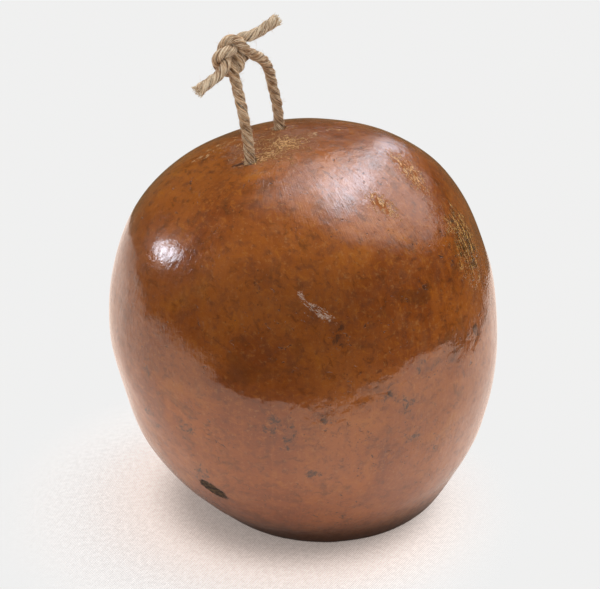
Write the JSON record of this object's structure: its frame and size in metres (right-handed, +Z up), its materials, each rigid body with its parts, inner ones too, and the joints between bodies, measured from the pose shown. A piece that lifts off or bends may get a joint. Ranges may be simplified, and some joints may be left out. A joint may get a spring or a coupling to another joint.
{
  "type": "dried bottle gourd with a tied twine loop",
  "caption": "Round dried bottle gourd with a glossy brown skin and a flat foot to stand on, and a short loop of jute twine knotted through holes in its top.",
  "frame": {"origin": "on the ground, under the middle of the gourd", "axes": "+Z up, +X to the right and +Y away from a person who looks at the side that the knot leans over"},
  "size_m": [0.187, 0.1878, 0.2485],
  "materials": {
    "gourd_skin": "gloss",
    "jute_twine": "matte"
  },
  "bodies": {
    "root": {"gourd": "gourd_skin", "cord_loop": "jute_twine", "cord_knot": "jute_twine", "cord_front_tail": "jute_twine", "cord_back_tail": "jute_twine"}
  },
  "joints": []
}
